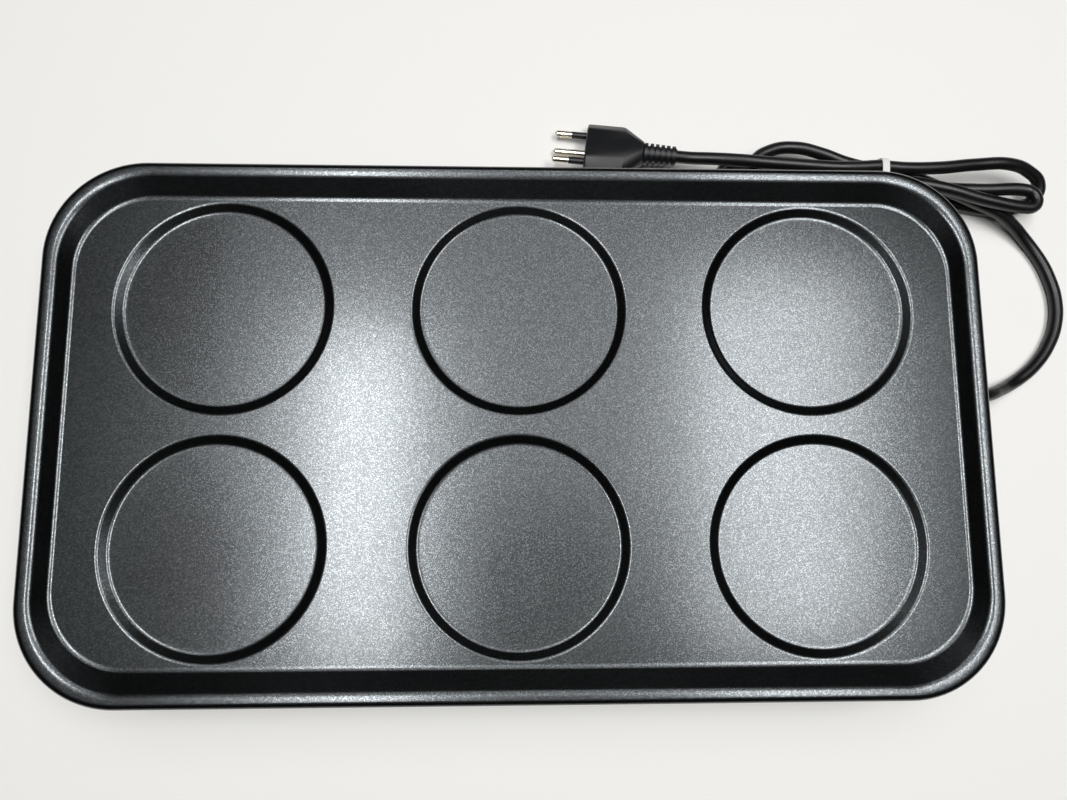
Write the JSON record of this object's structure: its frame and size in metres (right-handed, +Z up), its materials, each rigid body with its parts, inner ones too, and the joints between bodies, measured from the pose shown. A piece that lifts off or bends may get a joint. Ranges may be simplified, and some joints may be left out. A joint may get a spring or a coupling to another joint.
{
  "type": "countertop griddle",
  "caption": "Rectangular countertop griddle for small crepes, with a raised rim, round shallow wells, an electric base and a folded mains lead.",
  "frame": {"origin": "on the table under the middle of the cooking plate", "axes": "+X along the plate's long side towards the lead, +Y towards its back, +Z up"},
  "size_m": [0.5677, 0.3237, 0.0633],
  "materials": {
    "nonstick": "satin",
    "element_steel": "satin",
    "ceramic": "matt",
    "brass": "satin",
    "zinc_steel": "satin",
    "aluminium_sheet": "satin",
    "spacer_steel": "satin",
    "base_plastic": "matt",
    "pad_rubber": "matt",
    "bakelite": "satin",
    "fuse_sleeve": "matt",
    "block_plastic": "satin",
    "cord_rubber": "satin",
    "plug_plastic": "satin",
    "pin_metal": "satin",
    "tie_plastic": "satin",
    "wire_brown": "satin",
    "wire_white": "matt",
    "wire_blue": "satin",
    "wire_green": "satin"
  },
  "bodies": {
    "root": {"griddle_plate": "nonstick", "heating_element": "element_steel", "element_seals": "ceramic", "element_contacts": "brass", "clamp_bar_left": "zinc_steel", "clamp_bar_right": "zinc_steel", "clamp_bar_screws": "zinc_steel", "reflector_sheet": "aluminium_sheet", "base_tray": "base_plastic", "base_screws": "zinc_steel", "spacer_front_left": "spacer_steel", "spacer_back_left": "spacer_steel", "spacer_front_right": "spacer_steel", "spacer_back_right": "spacer_steel", "spacer_mid_left": "spacer_steel", "spacer_mid_right": "spacer_steel", "foot_front_left": "base_plastic", "foot_back_left": "base_plastic", "foot_front_right": "base_plastic", "foot_back_right": "base_plastic", "foot_pad_front_left": "pad_rubber", "foot_pad_back_left": "pad_rubber", "foot_pad_front_right": "pad_rubber", "foot_pad_back_right": "pad_rubber", "foot_screws": "zinc_steel", "foot_nuts": "zinc_steel", "thermostat_body": "bakelite", "thermostat_cap": "aluminium_sheet", "thermostat_blades": "brass", "thermostat_screws": "zinc_steel", "thermal_fuse": "fuse_sleeve", "fuse_clip": "zinc_steel", "fuse_screw": "zinc_steel", "terminal_block": "block_plastic", "terminal_screws": "brass", "block_screws": "zinc_steel", "earth_terminal": "brass", "earth_washer": "zinc_steel", "earth_screw": "zinc_steel", "cord_sheath": "cord_rubber", "cord_clamp": "base_plastic", "cord_clamp_screws": "zinc_steel", "cord_gland": "cord_rubber", "wire_live_in": "wire_brown", "wire_neutral_in": "wire_blue", "wire_earth_in": "wire_green", "wire_live_out": "wire_brown", "wire_link": "wire_white", "wire_live_element": "wire_white", "wire_neutral_element": "wire_blue", "wire_earth_plate": "wire_green", "cord_lead": "cord_rubber", "cord_hank": "cord_rubber", "cord_tail": "cord_rubber", "hank_tie": "tie_plastic", "plug_body": "plug_plastic", "plug_pins_live_neutral": "pin_metal", "plug_pin_earth": "pin_metal", "plug_sleeves": "plug_plastic"}
  },
  "joints": []
}
